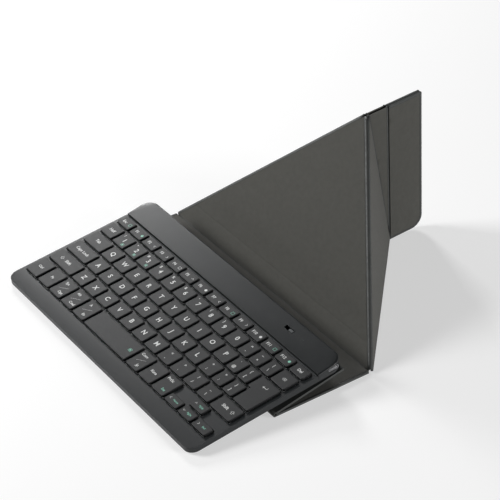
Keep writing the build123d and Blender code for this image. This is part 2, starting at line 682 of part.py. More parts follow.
knob_base = CHIP_TOP_Z + 0.2
led_base = CHIP_TOP_Z + 0.1
with BuildPart() as power_switch:
    with BuildSketch(KEYBOARD_PLANE.offset(knob_base)):
        with Locations((SWITCH_X + SWITCH_TRAVEL / 2, SWITCH_Y)):
            RectangleRounded(*SWITCH_KNOB, 0.5)
    extrude(amount=bar_top(SWITCH_Y) - knob_base - 0.3)
power_switch.part.label = "power_switch"
export_step(power_switch.part, "parts/power_switch.step")

with BuildPart() as status_led:
    with BuildSketch(KEYBOARD_PLANE.offset(led_base)):
        with Locations((LED_X, SWITCH_Y)):
            RectangleRounded(*LED_SIZE, 0.25)
    extrude(amount=bar_top(SWITCH_Y) - led_base - 0.02)
status_led.part.label = "status_led"
export_step(status_led.part, "parts/status_led.step")

with BuildPart() as housing_screws:
    with BuildSketch(KEYBOARD_PLANE.offset(0.05)):
        with Locations(*SCREW_PLACES):
            Circle(SCREW_HEAD_R)
    extrude(amount=SCREW_HEAD - 0.05)
    with BuildSketch(KEYBOARD_PLANE.offset(SCREW_HEAD)):
        with Locations(*FRONT_SCREWS):
            Circle(SCREW_SHANK_R)
    extrude(amount=FRONT_SHANK)
    with BuildSketch(KEYBOARD_PLANE.offset(SCREW_HEAD)):
        with Locations(*REAR_SCREWS):
            Circle(SCREW_SHANK_R)
    extrude(amount=REAR_SHANK)
    with BuildSketch(KEYBOARD_PLANE.offset(0.05)):
        with Locations(*SCREW_PLACES):
            Rectangle(1.6, 0.4)
            Rectangle(0.4, 1.6)
    extrude(amount=0.35, mode=Mode.SUBTRACT)
housing_screws.part.label = "housing_screws"
export_step(housing_screws.part, "parts/housing_screws.step")

with BuildPart() as rubber_feet:
    with BuildSketch(KEYBOARD_PLANE.offset(-FOOT_HEIGHT)):
        with Locations(*FOOT_PLACES):
            SlotOverall(*FOOT_SIZE)
    extrude(amount=FOOT_HEIGHT)
rubber_feet.part.label = "rubber_feet"
export_step(rubber_feet.part, "parts/rubber_feet.step")

# ---------------------------------------------------------------- keycaps
key_nodes = sorted({key[0] for key in KEYS})
for node in key_nodes:
    with BuildPart() as caps:
        with BuildSketch(KEYBOARD_PLANE.offset(KEY_BOTTOM_Z)):
            for _, x, y, width, height in (key for key in KEYS if key[0] == node):
                with Locations((x, y)):
                    RectangleRounded(width, height, KEY_CORNER_R)
        extrude(amount=KEY_TOP_Z - KEY_BOTTOM_Z)
        tops = caps.faces().filter_by(lambda f: f.normal_at().dot(KEYBOARD_NORMAL) > 0.999)
        chamfer(tops.edges(), KEY_BEVEL)
    caps.part.label = node
    export_step(caps.part, f"parts/{node}.step")

with BuildPart() as enter_key:
    with BuildSketch(KEYBOARD_PLANE.offset(KEY_BOTTOM_Z)):
        with BuildLine():
            Polyline(*enter_outline(0), close=True)
        make_face()
    extrude(amount=KEY_TOP_Z - KEY_BOTTOM_Z)
    uprights = enter_key.edges().filter_by(Axis(KEYBOARD_ORIGIN, KEYBOARD_NORMAL))
    fillet(uprights, KEY_CORNER_R)
    top_face = enter_key.faces().filter_by(lambda f: f.normal_at().dot(KEYBOARD_NORMAL) > 0.999)
    chamfer(top_face.edges(), KEY_BEVEL)
enter_key.part.label = "enter_key"
export_step(enter_key.part, "parts/enter_key.step")
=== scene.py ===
"""Looks of the tablet keyboard case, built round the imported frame. Metres, in the frame's own axes."""
import json
import math

import bmesh
import bpy
import numpy as np
from mathutils import Matrix, Vector, noise

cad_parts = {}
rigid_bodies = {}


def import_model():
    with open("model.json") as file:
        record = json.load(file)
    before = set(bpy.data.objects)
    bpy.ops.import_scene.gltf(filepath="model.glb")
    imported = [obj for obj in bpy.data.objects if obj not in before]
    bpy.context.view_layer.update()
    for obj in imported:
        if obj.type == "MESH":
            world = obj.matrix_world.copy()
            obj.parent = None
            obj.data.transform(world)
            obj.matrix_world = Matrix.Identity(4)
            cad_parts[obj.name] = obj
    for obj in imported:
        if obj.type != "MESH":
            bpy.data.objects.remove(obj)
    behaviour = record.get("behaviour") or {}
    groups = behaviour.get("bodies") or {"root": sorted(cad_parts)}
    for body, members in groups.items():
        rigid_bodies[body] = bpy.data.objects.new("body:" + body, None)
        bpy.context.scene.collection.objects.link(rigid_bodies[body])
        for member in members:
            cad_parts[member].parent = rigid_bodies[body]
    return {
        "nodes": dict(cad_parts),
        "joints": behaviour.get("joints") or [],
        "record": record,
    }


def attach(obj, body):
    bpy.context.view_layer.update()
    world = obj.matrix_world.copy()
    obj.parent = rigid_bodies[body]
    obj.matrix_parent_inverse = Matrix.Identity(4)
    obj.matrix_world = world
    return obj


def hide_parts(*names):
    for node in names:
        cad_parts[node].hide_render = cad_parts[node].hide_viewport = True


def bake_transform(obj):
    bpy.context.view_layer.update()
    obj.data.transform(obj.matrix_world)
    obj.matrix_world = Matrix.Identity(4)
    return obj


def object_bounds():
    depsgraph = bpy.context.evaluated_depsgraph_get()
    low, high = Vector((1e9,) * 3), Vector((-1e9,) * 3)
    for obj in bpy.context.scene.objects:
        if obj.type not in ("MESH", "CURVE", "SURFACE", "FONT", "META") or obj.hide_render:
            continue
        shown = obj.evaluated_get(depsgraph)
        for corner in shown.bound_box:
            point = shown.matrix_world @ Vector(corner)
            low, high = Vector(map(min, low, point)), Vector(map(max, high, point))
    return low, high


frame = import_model()
cad_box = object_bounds()

MM = 0.001
NODES = frame["nodes"]
JOINTS = {joint["name"]: joint for joint in frame["joints"]}
BODY_NODES = frame["record"]["behaviour"]["bodies"]
SLOT_OF = {part["node"]: part["material_slot"] for part in frame["record"]["subparts"]}
BASE_COLOUR = {entry["slot"]: entry["base_color"] for entry in frame["record"]["materials"]}

# ---------------------------------------------------------------- camera
CAMERA_PLACE = (0.9991, -0.6866, 0.9126)
CAMERA_AZIMUTH = 54.48
CAMERA_ELEVATION = 35.21
CAMERA_LENS = 136.65
SENSOR = 36.0


def make_camera():
    data = bpy.data.cameras.new("camera")
    data.lens = CAMERA_LENS
    data.sensor_width = SENSOR
    data.clip_start = 0.05
    data.clip_end = 20
    camera = bpy.data.objects.new("camera", data)
    azimuth = math.radians(CAMERA_AZIMUTH)
    elevation = math.radians(CAMERA_ELEVATION)
    back = Vector(
        (
            math.sin(azimuth) * math.cos(elevation),
            -math.cos(azimuth) * math.cos(elevation),
            math.sin(elevation),
        )
    )
    camera.location = CAMERA_PLACE
    camera.rotation_mode = "QUATERNION"
    camera.rotation_quaternion = (-back).to_track_quat("-Z", "Y")
    bpy.context.scene.collection.objects.link(camera)
    bpy.context.scene.camera = camera


make_camera()


# ---------------------------------------------------------------- materials
class Shader:
    """A node material whose colour, roughness and bump come from procedural textures."""

    def __init__(self, name, roughness_range):
        self.material = bpy.data.materials.new(name)
        self.material.use_nodes = True
        self.nodes = self.material.node_tree.nodes
        self.links = self.material.node_tree.links
        self.surface = self.nodes["Principled BSDF"]
        self.place = self.nodes.new("ShaderNodeTexCoord").outputs["Object"]
        self.roughness_range = roughness_range

    def noise(self, size_mm, detail=3.0, stretch=(1, 1, 1)):
        """Noise with features about size_mm across."""
        mapping = self.nodes.new("ShaderNodeMapping")
        mapping.inputs["Scale"].default_value = stretch
        self.links.new(self.place, mapping.inputs["Vector"])
        texture = self.nodes.new("ShaderNodeTexNoise")
        texture.inputs["Scale"].default_value = 1 / (size_mm * MM)
        texture.inputs["Detail"].default_value = detail
        self.links.new(mapping.outputs["Vector"], texture.inputs["Vector"])
        return texture.outputs["Fac"]

    def cells(self, size_mm):
        """Rounded pebbles, for a leather grain."""
        texture = self.nodes.new("ShaderNodeTexVoronoi")
        texture.feature = "SMOOTH_F1"
        texture.inputs["Scale"].default_value = 1 / (size_mm * MM)
        texture.inputs["Smoothness"].default_value = 0.6
        self.links.new(self.place, texture.inputs["Vector"])
        return texture.outputs["Distance"]

    def spread(self, value, low, high):
        """value from about 0.3 to 0.7 carried onto low to high."""
        remap = self.nodes.new("ShaderNodeMapRange")
        remap.inputs["From Min"].default_value = 0.3
        remap.inputs["From Max"].default_value = 0.7
        remap.inputs["To Min"].default_value = low
        remap.inputs["To Max"].default_value = high
        self.links.new(value, remap.inputs["Value"])
        return remap.outputs["Result"]

    def colour(self, value, base, change):
        """Base colour that varies by a share of change with value."""
        ramp = self.nodes.new("ShaderNodeValToRGB")
        ramp.color_ramp.elements[0].position = 0.3
        ramp.color_ramp.elements[1].position = 0.7
        ramp.color_ramp.elements[0].color = (*[c * (1 - change) for c in base], 1)
        ramp.color_ramp.elements[1].color = (*[min(1, c * (1 + change)) for c in base], 1)
        self.links.new(value, ramp.inputs["Fac"])
        self.links.new(ramp.outputs["Color"], self.surface.inputs["Base Color"])

    def rough(self, value):
        low, high = self.roughness_range
        self.links.new(self.spread(value, low, high), self.surface.inputs["Roughness"])

    def bump(self, *layers):
        """Bump layers of (height, depth in mm), one on the other."""
        normal = None
        for height, depth_mm in layers:
            node = self.nodes.new("ShaderNodeBump")
            node.inputs["Distance"].default_value = depth_mm * MM
            self.links.new(height, node.inputs["Height"])
            if normal is not None:
                self.links.new(normal, node.inputs["Normal"])
            normal = node.outputs["Normal"]
        self.links.new(normal, self.surface.inputs["Normal"])


def moulded(name, base, roughness, grain_mm=0.16, depth_mm=0.008):
    """Moulded plastic with a fine spark-eroded grain."""
    shader = Shader(name, roughness)
    grain = shader.noise(grain_mm, 2.0)
    shader.colour(shader.noise(9.0), base, 0.06)
    shader.rough(shader.noise(1.6))
    shader.bump((grain, depth_mm))
    shader.surface.inputs["Specular IOR Level"].default_value = 0.3
    return shader.material


def leather_look(name, base):
    """Artificial leather: small pebbles with finer creases between them."""
    shader = Shader(name, (0.46, 0.62))
    pebbles = shader.cells(0.8)
    shader.colour(shader.noise(14.0, 5.0), base, 0.14)
    shader.rough(shader.noise(2.2))
    shader.bump((pebbles, 0.05), (shader.noise(0.25), 0.015))
    shader.surface.inputs["Specular IOR Level"].default_value = 0.42
    return shader.material


def microfibre_look(name, base):
    """Brushed microfibre: a short nap that clouds in soft patches, with a faint sheen."""
    shader = Shader(name, (0.82, 0.95))
    nap = shader.noise(0.35, 6.0)
    shader.colour(shader.noise(5.0, 6.0, (1, 1.6, 1)), base, 0.05)
    shader.rough(shader.noise(3.0))
    shader.bump((nap, 0.06), (shader.noise(1.4, 3.0), 0.05))
    shader.surface.inputs["Sheen Weight"].default_value = 0.12
    shader.surface.inputs["Sheen Roughness"].default_value = 0.6
    shader.surface.inputs["Specular IOR Level"].default_value = 0.2
    return shader.material


def metal_look(name, base, roughness, stretch=(1, 12, 1)):
    """Rolled or brushed metal."""
    shader = Shader(name, roughness)
    brushed = shader.noise(0.6, 4.0, stretch)
    shader.colour(shader.noise(6.0), base, 0.08)
    shader.rough(brushed)
    shader.bump((brushed, 0.01))
    shader.surface.inputs["Metallic"].default_value = 1.0
    return shader.material


def printed_ink(name, base):
    """Slightly uneven printed legend."""
    shader = Shader(name, (0.4, 0.55))
    shader.colour(shader.noise(0.5), base, 0.06)
    shader.rough(shader.noise(0.8))
    shader.bump((shader.noise(0.2), 0.004))
    return shader.material


def board_look(name, base):
    """Circuit board with fine tracks under its lacquer."""
    shader = Shader(name, (0.25, 0.4))
    wave = shader.nodes.new("ShaderNodeTexWave")
    wave.inputs["Scale"].default_value = 260
    wave.inputs["Distortion"].default_value = 3.0
    shader.links.new(shader.place, wave.inputs["Vector"])
    shader.colour(wave.outputs["Fac"], base, 0.35)
    shader.rough(shader.noise(1.2))
    shader.bump((wave.outputs["Fac"], 0.02))
    return shader.material


MATERIALS = {
    "housing": moulded("housing", BASE_COLOUR["housing"], (0.34, 0.44)),
    "bar": moulded("bar", BASE_COLOUR["bar"], (0.29, 0.36), 0.14, 0.006),
    "keycap": moulded("keycap", BASE_COLOUR["keycap"], (0.44, 0.56), 0.13),
    "switch_knob": moulded("switch_knob", BASE_COLOUR["switch_knob"], (0.4, 0.5)),
    "leather": leather_look("leather", BASE_COLOUR["leather"]),
    "lining": microfibre_look("lining", BASE_COLOUR["lining"]),
    "stiffener": moulded("stiffener", BASE_COLOUR["stiffener"], (0.85, 0.95), 0.5, 0.04),
    "steel_plate": metal_look("steel_plate", BASE_COLOUR["steel_plate"], (0.3, 0.45)),
    "membrane": moulded("membrane", BASE_COLOUR["membrane"], (0.2, 0.3), 2.0, 0.01),
    "rubber": moulded("rubber", BASE_COLOUR["rubber"], (0.7, 0.85), 0.3, 0.02),
    "link_plastic": moulded("link_plastic", BASE_COLOUR["link_plastic"], (0.4, 0.5)),
    "circuit_board": board_look("circuit_board", BASE_COLOUR["circuit_board"]),
    "battery": metal_look("battery", BASE_COLOUR["battery"], (0.25, 0.4), (1, 1, 1)),
    "steel": metal_look("steel", BASE_COLOUR["steel"], (0.25, 0.4)),
    "led": moulded("led", BASE_COLOUR["led"], (0.2, 0.3), 0.4, 0.003),
    "magnet": metal_look("magnet", BASE_COLOUR["magnet"], (0.2, 0.3), (1, 1, 1)),
}
WHITE_INK = printed_ink("white_ink", (0.72, 0.73, 0.72))
GREEN_INK = printed_ink("green_ink", (0.22, 0.55, 0.42))


def paint(obj, *materials):
    obj.data.materials.clear()
    for material in materials:
        obj.data.materials.append(material)


# ---------------------------------------------------------------- carried-over CAD nodes
WELD = 2e-6
EDGE_SOFTNESS = {"housing": 0.22, "bar": 0.30, "keycap": 0.28, "switch_knob": 0.15}


def soften(obj, width_mm, segments=3, angle=28):
    """Welds the mesh and rounds its edges, so that they catch the light as moulded ones do."""
    if "custom_normal" in obj.data.attributes:
        obj.data.attributes.remove(obj.data.attributes["custom_normal"])
    weld = obj.modifiers.new("weld", "WELD")
    weld.merge_threshold = WELD
    bevel = obj.modifiers.new("edges", "BEVEL")
    bevel.width = width_mm * MM
    bevel.segments = segments
    bevel.limit_method = "ANGLE"
    bevel.angle_limit = math.radians(angle)
    bevel.harden_normals = True
    obj.data.shade_smooth()


for node_name, node in NODES.items():
    paint(node, MATERIALS[SLOT_OF[node_name]])
    if SLOT_OF[node_name] in EDGE_SOFTNESS:
        soften(node, EDGE_SOFTNESS[SLOT_OF[node_name]])


# ---------------------------------------------------------------- helpers for new pieces
def points_of(*names):
    return np.concatenate(
        [np.array([v.co for v in NODES[name].data.vertices], float) for name in names]
    )


def flat_normal(name):
    """Normal of the largest triangle of a flat node."""
    largest = max(NODES[name].data.polygons, key=lambda face: face.area)
    return largest.normal.normalized()


def new_piece(name, bm, body, slot, *materials):
    """Makes a piece that rides on a body; with body None it rides on none."""
    mesh = bpy.data.meshes.new(name)
    bm.to_mesh(mesh)
    bm.free()
    obj = bpy.data.objects.new(name, mesh)
    bpy.context.scene.collection.objects.link(obj)
    paint(obj, *materials)
    if body:
        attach(obj, body)
    return obj


# ---------------------------------------------------------------- cover: panels
SHEET_GRID = 4.0 * MM
CREASE_RISE = 16.0 * MM
CREASE_WIDTH = 0.9 * MM
CREASE_DEPTH = 0.28 * MM
CREASE_CUTS = (-1.5, -0.8, 0, 0.8, 1.5)
UNDULATION = 0.07 * MM
UNDULATION_LENGTH = 22 * MM


def cut_across(bm, point, direction):
    everything = list(bm.verts) + list(bm.edges) + list(bm.faces)
    bmesh.ops.bisect_plane(bm, geom=everything, plane_co=point, plane_no=direction, dist=1e-7)


def soft_panel(name, body, crease_axis=None):
    """A cover layer remade as one fine mesh with the slight waviness of glued cloth.

    crease_axis is (point on the crease, direction across it, side that the groove sinks to).
    """
    bm = bmesh.new()
    bm.from_mesh(NODES[name].data)
    bmesh.ops.remove_doubles(bm, verts=bm.verts, dist=WELD)
    bmesh.ops.dissolve_limit(bm, angle_limit=math.radians(1), verts=bm.verts, edges=bm.edges)
    normal = flat_normal(name)
    across = normal.orthogonal().normalized()
    along = normal.cross(across)
    for direction in (across, along):
        reach = [v.co.dot(direction) for v in bm.verts]
        place = min(reach) + SHEET_GRID
        while place < max(reach) - SHEET_GRID / 4:
            cut_across(bm, direction * place, direction)
            place += SHEET_GRID
    if crease_axis:
        point, direction, sink = crease_axis
        for step in CREASE_CUTS:
            cut_across(bm, point + direction * (step * CREASE_WIDTH), direction)
    for vertex in bm.verts:
        lift = UNDULATION * noise.noise(vertex.co / UNDULATION_LENGTH)
        if crease_axis:
            distance = (vertex.co - point).dot(direction) / CREASE_WIDTH
            lift -= CREASE_DEPTH * math.exp(-distance * distance) * sink
        vertex.co += normal * lift
    piece = new_piece(f"{name}_soft", bm, body, SLOT_OF[name], MATERIALS[SLOT_OF[name]])
    soften(piece, 0.22, 2, 50)
    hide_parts(name)


COVER_BODIES = [
    body for body, names in BODY_NODES.items() if any(n.endswith("_lining") for n in names)
]


def facet_crease():
    """The pressed line across the stand's front, a little above its fold with the ground panel."""
    joint = JOINTS["stand_fold"]
    normal = flat_normal("facet_lining")
    upward = normal.cross(Vector(joint["axis"])).normalized()
    if upward.z < 0:
        upward.negate()
    towards_leather = Vector(points_of("facet_leather").mean(0) - points_of("facet_lining").mean(0))
    sign = -1 if normal.dot(towards_leather) > 0 else 1
    return Vector(joint["pos_m"]) + upward * CREASE_RISE, upward, sign


for cover_body in COVER_BODIES:
    for layer in BODY_NODES[cover_body]:
        if layer.endswith("_lining") or layer.endswith("_leather"):
            soft_panel(layer, cover_body, facet_crease() if layer == "facet_lining" else None)
for gusset in ("left_gusset", "right_gusset"):
    soft_panel(gusset, gusset)
soft_panel("mount_strip", "keyboard")


# ---------------------------------------------------------------- cover: folds between panels
SKIN = 0.42 * MM
SKIN_RECESS = 0.10 * MM
TUCK = 1.2 * MM
TUCK_STEP = 0.44 * MM
FOLD_STEPS_DEG = 12.0
FOLD_ROWS = 48
FOLD_OVERRUN = 0.6 * MM
FOLD_RIPPLE = 0.05 * MM
RIPPLE_LENGTH = 3 * MM
LEAST_GAP = 0.05 * MM
EDGE_BAND = 0.6 * MM


def inside_case(point):
    """The point, kept within the CAD model's box and off the table."""
    low, high = cad_box
    return Vector(min(max(c, a), b) for c, a, b in zip(point, low, high))


class FoldSide:
    """One panel beside a fold: its direction away from the fold, its normal and where it starts."""

    def __init__(self, body, pivot, axis):
        names = [
            n for n in BODY_NODES[body]
            if n.endswith("_leather") or n.endswith("_lining")
            or n.endswith("_gusset") or n == "mount_strip"
        ]
        self.body = body
        self.stiff = any(n.endswith("_board") for n in BODY_NODES[body])
        points = points_of(*names) - np.array(pivot)
        self.normal = flat_normal(names[0])
        if points.mean(0) @ np.array(self.normal) < 0:
            self.normal.negate()
        self.inward = self.normal.cross(axis).normalized()
        if points.mean(0) @ np.array(self.inward) < 0:
            self.inward.negate()
        distance = points @ np.array(self.inward)
        self.start = max(float(distance.min()), LEAST_GAP)
        self.thickness = float((points @ np.array(self.normal)).max())
        near = points[distance < distance.min() + EDGE_BAND] @ np.array(axis)
        self.low, self.high = float(near.min()), float(near.max())
        self.lining_outside = self.lining_is_far(names, pivot)

    def lining_is_far(self, names, pivot):
        linings = [n for n in names if n.endswith("_lining")]
        if not linings:
            return None
        depth = (points_of(*linings) - np.array(pivot)) @ np.array(self.normal)
        return depth.mean() > self.thickness / 2

    def rungs(self):
        """(distance from the fold, inner height, outer height), from the tucked end to the gap."""
        top = self.thickness - SKIN_RECESS
        found = []
        if self.stiff:
            tucked = top - TUCK_STEP
            found += [
                (self.start + TUCK, tucked - SKIN, tucked),
                (self.start + 0.02 * MM, tucked - SKIN, tucked),
            ]
        found += [(self.start, top - 2 * SKIN, top), (self.start * 0.5, top - 2 * SKIN, top)]
        return found


def fold_section(first, second):
    """Pairs of (inner, outer) points of the skin, from one panel round the fold to the other."""
    outward = -(first.inward + second.inward)
    turn = first.normal.angle(second.normal)
    if outward.length < 1e-3:
        outward = first.normal.copy()
    turning = first.normal.cross(second.normal)
    if turn > math.radians(150):
        turning = first.normal.cross(outward)
    section = [
        (first.inward * u + first.normal * inner, first.inward * u + first.normal * outer)
        for u, inner, outer in first.rungs()
    ]
    steps = max(2, round(math.degrees(turn) / FOLD_STEPS_DEG))
    for i in range(steps + 1):
        share = i / steps
        direction = first.normal
        if turn > math.radians(2):
            direction = Matrix.Rotation(turn * share, 3, turning) @ first.normal
        top = first.thickness * (1 - share) + second.thickness * share - SKIN_RECESS
        section.append((direction * (top - 2 * SKIN), direction * top))
    section += [
        (second.inward * u + second.normal * inner, second.inward * u + second.normal * outer)
        for u, inner, outer in reversed(second.rungs())
    ]
    return section


def fold_span(first, second):
    """How far the skin runs along the fold. Beside a gusset it runs on past the gusset's tip."""
    if first.stiff and second.stiff:
        low, high = max(first.low, second.low), min(first.high, second.high)
    else:
        low, high = min(first.low, second.low), max(first.high, second.high)
    return low - FOLD_OVERRUN, high + FOLD_OVERRUN


def fold_strip(joint_name):
    """The cover's skin where it bends between two panels."""
    joint = JOINTS[joint_name]
    pivot, axis = Vector(joint["pos_m"]), Vector(joint["axis"]).normalized()
    first = FoldSide(joint["parent"], pivot, axis)
    second = FoldSide(joint["child"], pivot, axis)
    section = fold_section(first, second)
    low, high = fold_span(first, second)
    bm = bmesh.new()
    grid = []
    for row in range(FOLD_ROWS + 1):
        place = axis * (low + (high - low) * row / FOLD_ROWS)
        ring = []
        for inner, outer in section:
            ripple = outer.normalized() * (FOLD_RIPPLE * noise.noise((place + outer) / RIPPLE_LENGTH))
            pair = (pivot + place + inner, pivot + place + outer + ripple)
            ring.append([bm.verts.new(inside_case(point)) for point in pair])
        grid.append(ring)
    lining_outside = first.lining_outside
    if lining_outside is None:
        lining_outside = second.lining_outside
    outer_slot = 1 if lining_outside else 0
    for ring, following in zip(grid, grid[1:]):
        for a, b, c, d in zip(ring, ring[1:], following, following[1:]):
            bm.faces.new((a[1], b[1], d[1], c[1])).material_index = outer_slot
            bm.faces.new((a[0], c[0], d[0], b[0])).material_index = 1 - outer_slot
        for end in (0, -1):
            bm.faces.new((ring[end][0], ring[end][1], following[end][1], following[end][0]))
    for ring in (grid[0], grid[-1]):
        for a, b in zip(ring, ring[1:]):
            bm.faces.new((a[0], b[0], b[1], a[1]))
    bmesh.ops.recalc_face_normals(bm, faces=bm.faces)
    piece = new_piece(
        f"{joint_name}_skin", bm, None, "leather", MATERIALS["leather"], MATERIALS["lining"]
    )
    piece.data.shade_smooth()
    end = pivot + second.inward * second.start + second.normal * (second.thickness / 2)
    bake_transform(piece)


for joint_name in JOINTS:
    if joint_name.endswith("_fold"):
        fold_strip(joint_name)


# ---------------------------------------------------------------- keyboard frame and caps
NORMAL = -Vector(JOINTS["space_press"]["axis"]).normalized()
ACROSS = Vector((1, 0, 0))
DEPTHWISE = NORMAL.cross(ACROSS)
INK_HEIGHT = 0.05 * MM
KEYBOARD_AXES = Matrix((ACROSS, DEPTHWISE, NORMAL)).transposed()


def caps_of(node):
    """(centre of the top face, width, depth) of each cap in a node, from left to right."""
    bm = bmesh.new()
    bm.from_mesh(NODES[node].data)
    bmesh.ops.remove_doubles(bm, verts=bm.verts, dist=WELD)
    waiting, caps = set(bm.verts), []
    while waiting:
        stack, island = [waiting.pop()], []
        while stack:
            vertex = stack.pop()
            island.append(vertex.co.copy())
            for edge in vertex.link_edges:
                other = edge.other_vert(vertex)
                if other in waiting:
                    waiting.remove(other)
                    stack.append(other)
        local = np.array([(p.dot(ACROSS), p.dot(DEPTHWISE), p.dot(NORMAL)) for p in island])
        low, high = local.min(0), local.max(0)
        middle = (low + high) / 2
        centre = ACROSS * middle[0] + DEPTHWISE * middle[1] + NORMAL * high[2]
        caps.append((centre, high[0] - low[0], high[1] - low[1]))
    bm.free()
    return sorted(caps, key=lambda cap: cap[0].x)


HIGHLIGHT_TRIM_WIDTH = 0.55 * MM
HIGHLIGHT_TRIM_HEIGHT = 0.30 * MM
HIGHLIGHT_TRIM_SETBACK = 1.1 * MM
HIGHLIGHT_TRIM_END = 1.6 * MM


def make_highlight_trim():
    """The thin raised line along the deck, in front of the bar: a real raised strip, whose lighter
    plastic is a painted highlight for the bright line there.
    """
    bar, deck = points_of("bar_cover"), points_of("top_housing")
    front = (bar @ np.array(DEPTHWISE)).min() - HIGHLIGHT_TRIM_SETBACK
    level = (deck @ np.array(NORMAL)).max()
    half = bar[:, 0].max() - HIGHLIGHT_TRIM_END
    profile = [
        (front - HIGHLIGHT_TRIM_WIDTH, level - HIGHLIGHT_TRIM_HEIGHT),
        (front - HIGHLIGHT_TRIM_WIDTH * 0.8, level + HIGHLIGHT_TRIM_HEIGHT * 0.8),
        (front - HIGHLIGHT_TRIM_WIDTH * 0.5, level + HIGHLIGHT_TRIM_HEIGHT),
        (front - HIGHLIGHT_TRIM_WIDTH * 0.2, level + HIGHLIGHT_TRIM_HEIGHT * 0.8),
        (front, level - HIGHLIGHT_TRIM_HEIGHT),
    ]
    bm = bmesh.new()
    ends = [
        [bm.verts.new(ACROSS * x + DEPTHWISE * d + NORMAL * h) for d, h in profile]
        for x in (-half, half)
    ]
    for i, start in enumerate(ends[0]):
        j = (i + 1) % len(profile)
        bm.faces.new((start, ends[1][i], ends[1][j], ends[0][j]))
    bm.faces.new(ends[0])
    bm.faces.new(ends[1][::-1])
    bmesh.ops.recalc_face_normals(bm, faces=bm.faces)
    # the strip's lighter plastic is a painted highlight along the bar's front
    new_piece("deck_highlight_trim", bm, "keyboard", "switch_knob", MATERIALS["switch_knob"])


make_highlight_trim()


class Ink:
    """Printed marks for one key node and one colour, gathered into one mesh."""

    def __init__(self):
        self.bm = bmesh.new()

    def at(self, centre, x_mm, y_mm):
        place = centre + ACROSS * (x_mm * MM) + DEPTHWISE * (y_mm * MM)
        return Matrix.Translation(place) @ KEYBOARD_AXES.to_4x4()

    def text(self, words, centre, x_mm, y_mm, height_mm):
        curve = bpy.data.curves.new("words", "FONT")
        curve.body = words
        curve.size = height_mm * MM / 0.72
        curve.align_x = "CENTER"
        curve.align_y = "CENTER"
        curve.extrude = INK_HEIGHT / 2
        curve.offset = BOLDNESS * height_mm * MM
        curve.resolution_u = 3
        holder = bpy.data.objects.new("words", curve)
        mesh = bpy.data.meshes.new_from_object(holder)
        mesh.transform(self.at(centre, x_mm, y_mm))
        self.bm.from_mesh(mesh)
        bpy.data.objects.remove(holder)
        bpy.data.meshes.remove(mesh)
        bpy.data.curves.remove(curve)

    def shape(self, outline_mm, centre, x_mm=0, y_mm=0):
        """A filled polygon of points in mm about the cap's centre, a thin plate high."""
        matrix = self.at(centre, x_mm, y_mm)
        base, top = (
            [self.bm.verts.new(matrix @ Vector((x * MM, y * MM, z))) for x, y in outline_mm]
            for z in (-INK_HEIGHT / 2, INK_HEIGHT / 2)
        )
        self.bm.faces.new(top)
        self.bm.faces.new(base[::-1])
        count = len(base)
        for i in range(count):
            j = (i + 1) % count
            self.bm.faces.new((base[i], base[j], top[j], top[i]))

    def stroke(self, points_mm, width_mm, centre, x_mm=0, y_mm=0):
        """A line through points, drawn as one thin plate for each run."""
        for (x0, y0), (x1, y1) in zip(points_mm, points_mm[1:]):
            length = math.hypot(x1 - x0, y1 - y0)
            ux, uy = (x1 - x0) / length * width_mm / 2, (y1 - y0) / length * width_mm / 2
            corners = [
                (x0 - ux - uy, y0 - uy + ux), (x0 - ux + uy, y0 - uy - ux),
                (x1 + ux + uy, y1 + uy - ux), (x1 + ux - uy, y1 + uy + ux),
            ]
            self.shape(corners, centre, x_mm, y_mm)

    def finish(self, name, body, material):
        if not self.bm.faces:
            self.bm.free()
            return
        bmesh.ops.recalc_face_normals(self.bm, faces=self.bm.faces)
        new_piece(name, self.bm, body, "keycap", material)


BACKSPACE_OUTLINE = [(-1, 0), (-0.45, 0.62), (1, 0.62), (1, -0.62), (-0.45, -0.62), (-1, 0)]
SHIFT_OUTLINE = [
    (-1, 0), (0, 1), (1, 0), (0.45, 0), (0.45, -0.8), (-0.45, -0.8), (-0.45, 0), (-1, 0),
]
BOX_OUTLINE = [(-1, -1), (1, -1), (1, 1), (-1, 1), (-1, -1)]
HOUSE = [(-1, 0), (0, 1), (1, 0), (0.7, -1), (-0.7, -1)]
ENTER_LINE = [(1, 0.7), (1, 0), (-1, 0)]
ENTER_HEAD = [(-1.15, 0), (-0.4, 0.45), (-0.4, -0.45)]
CROSS = ([(-0.05, 0.25), (0.5, -0.25)], [(-0.05, -0.25), (0.5, 0.25)])
CHEVRON = [(-0.8, -0.4), (0, 0.6), (0.8, -0.4)]
CHEVRON_TURN = {"left": 90, "up": 0, "right": -90, "down": 180}
DOT_CORNERS = 10


def icon(ink, kind, centre, x_mm, y_mm, size):
    """Plain symbols: arrows, a wipe-back mark, a lamp square and the like."""
    half = size / 2

    def scaled(points):
        return [(x * half, y * half) for x, y in points]

    place = (centre, x_mm, y_mm)
    if kind == "backspace":
        ink.stroke(scaled(BACKSPACE_OUTLINE), 0.28, *place)
        for line in CROSS:
            ink.stroke(scaled(line), 0.26, *place)
    elif kind == "enter":
        ink.stroke(scaled(ENTER_LINE), 0.38, *place)
        ink.shape(scaled(ENTER_HEAD), *place)
    elif kind == "shift":
        ink.stroke(scaled(SHIFT_OUTLINE), 0.26, *place)
    elif kind == "home":
        ink.shape(scaled(HOUSE), *place)
    elif kind == "dot":
        angles = [2 * math.pi * i / DOT_CORNERS for i in range(DOT_CORNERS)]
        ink.shape(scaled((math.cos(a), math.sin(a)) for a in angles), *place)
    elif kind == "box":
        ink.stroke(scaled(BOX_OUTLINE), 0.25, *place)
    else:
        turn = Matrix.Rotation(math.radians(CHEVRON_TURN[kind]), 2)
        ink.stroke([tuple(turn @ Vector(point)) for point in scaled(CHEVRON)], 0.3, *place)


